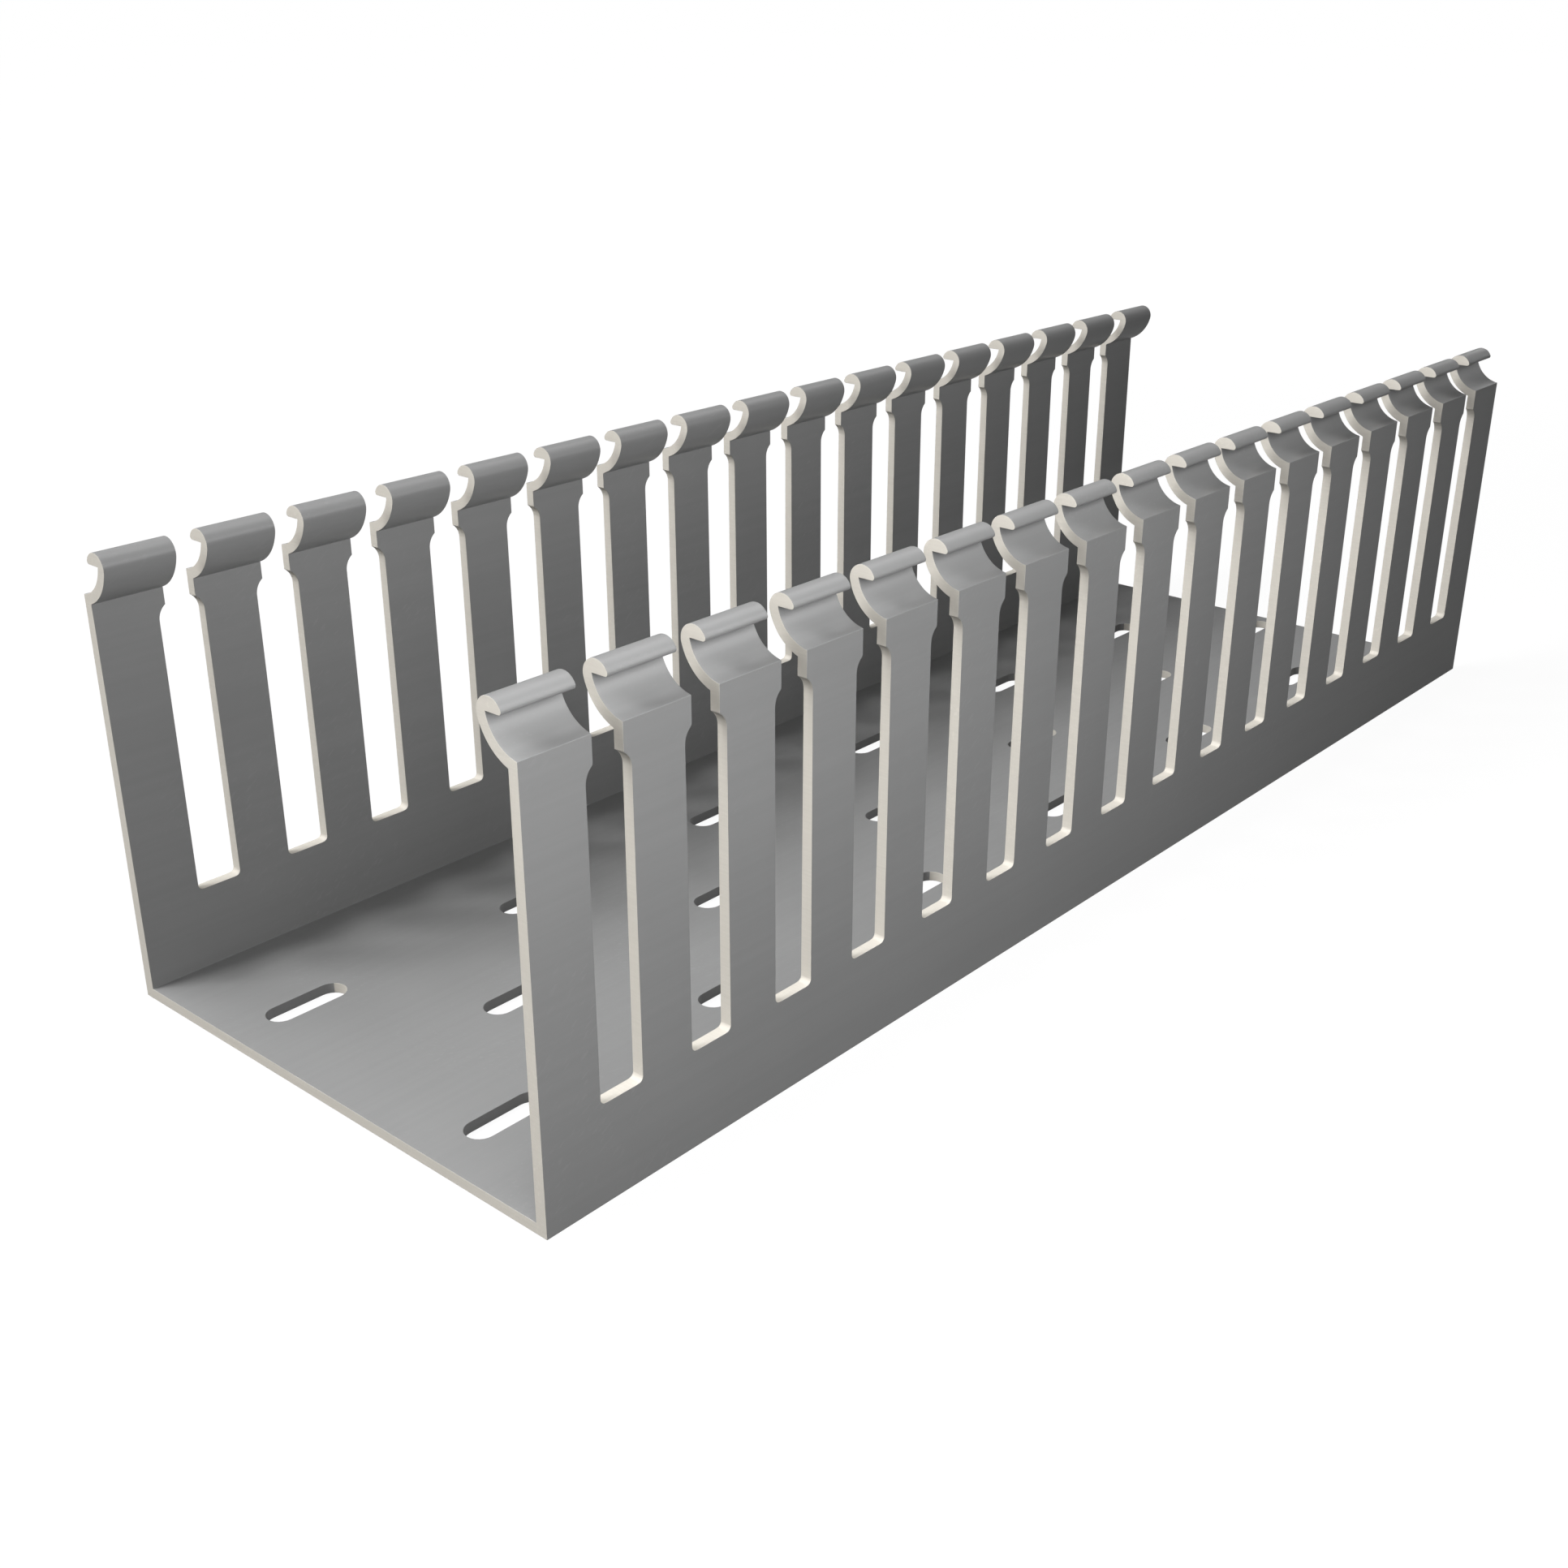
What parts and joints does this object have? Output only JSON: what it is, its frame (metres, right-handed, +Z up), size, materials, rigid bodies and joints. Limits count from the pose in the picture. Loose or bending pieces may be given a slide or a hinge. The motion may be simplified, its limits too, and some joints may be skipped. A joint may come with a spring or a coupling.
{
  "type": "slotted wire duct",
  "caption": "Slotted wiring duct channel: open-topped U section with finger walls, curled heads for a clip-on cover and screw slots in its floor.",
  "frame": {"origin": "middle of the underside of the floor, at mid length and mid width", "axes": "+X along the length, +Y across the width towards the wall that is far off in the picture, +Z up, out of the open side"},
  "size_m": [0.3, 0.1, 0.0781],
  "materials": {
    "duct_plastic": "smooth extruded mid-grey rigid PVC with a satin skin, its punched and sawn edges paler and matte"
  },
  "bodies": {
    "root": {"duct_base": "duct_plastic"}
  },
  "joints": []
}
